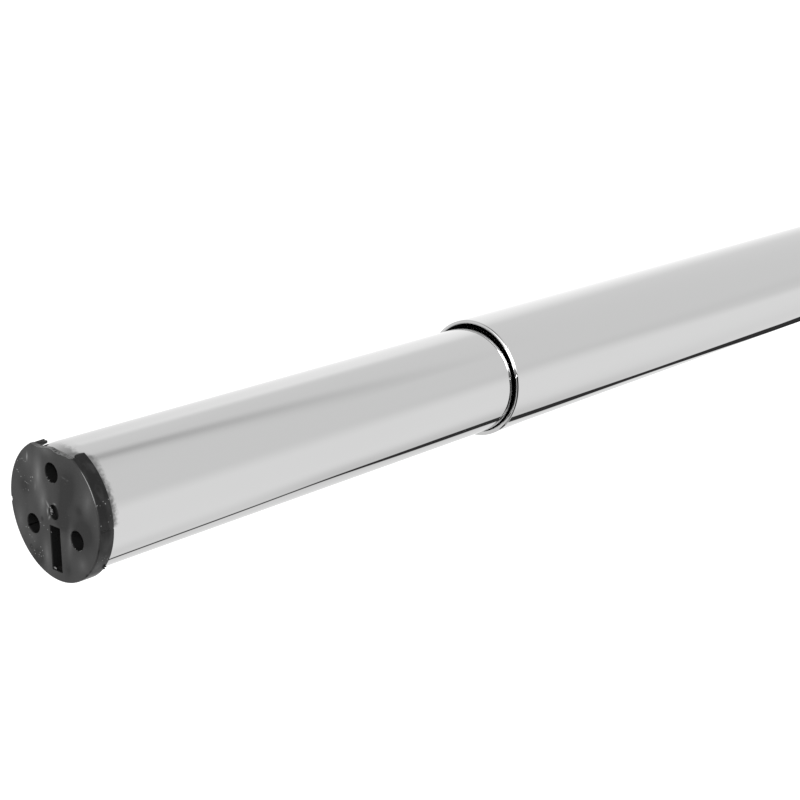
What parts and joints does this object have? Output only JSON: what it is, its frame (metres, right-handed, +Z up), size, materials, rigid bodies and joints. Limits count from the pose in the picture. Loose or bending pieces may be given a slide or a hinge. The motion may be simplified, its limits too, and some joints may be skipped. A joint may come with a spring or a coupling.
{
  "type": "adjustable closet rod",
  "caption": "Telescoping round closet rod: a thin chromed tube slides and turns in a wide one, and a black moulded cap closes each outer end.",
  "frame": {"origin": "centre of the screw-hole circle on the wall face of the thin tube's end cap, on that tube's axis", "axes": "+X runs along the rod from that wall towards the wide tube, +Z is up with a screw hole of the cap at the top and its slot below, +Y completes a right-handed frame"},
  "size_m": [0.8794, 0.03, 0.029],
  "materials": {
    "chromed_steel": "bright chrome plating on smooth rolled steel tube",
    "black_moulding": "semi-gloss black moulded polypropylene",
    "natural_nylon": "natural unfilled nylon, matt"
  },
  "bodies": {
    "inner_rod": {"inner_tube": "chromed_steel", "inner_end_cap": "black_moulding"},
    "guide": {"guide_bush": "natural_nylon"},
    "outer_rod": {"outer_tube": "chromed_steel", "outer_end_cap": "black_moulding"}
  },
  "joints": [
    {"name": "tube_twist", "type": "hinge", "parent": "inner_rod", "child": "guide", "pos_m": [0.71, 0, 0.00035], "axis": [1, 0, 0], "continuous": true},
    {"name": "length_slide", "type": "slide", "parent": "guide", "child": "outer_rod", "axis": [1, 0, 0], "range_m": [-0.1174, 0.3398]}
  ]
}
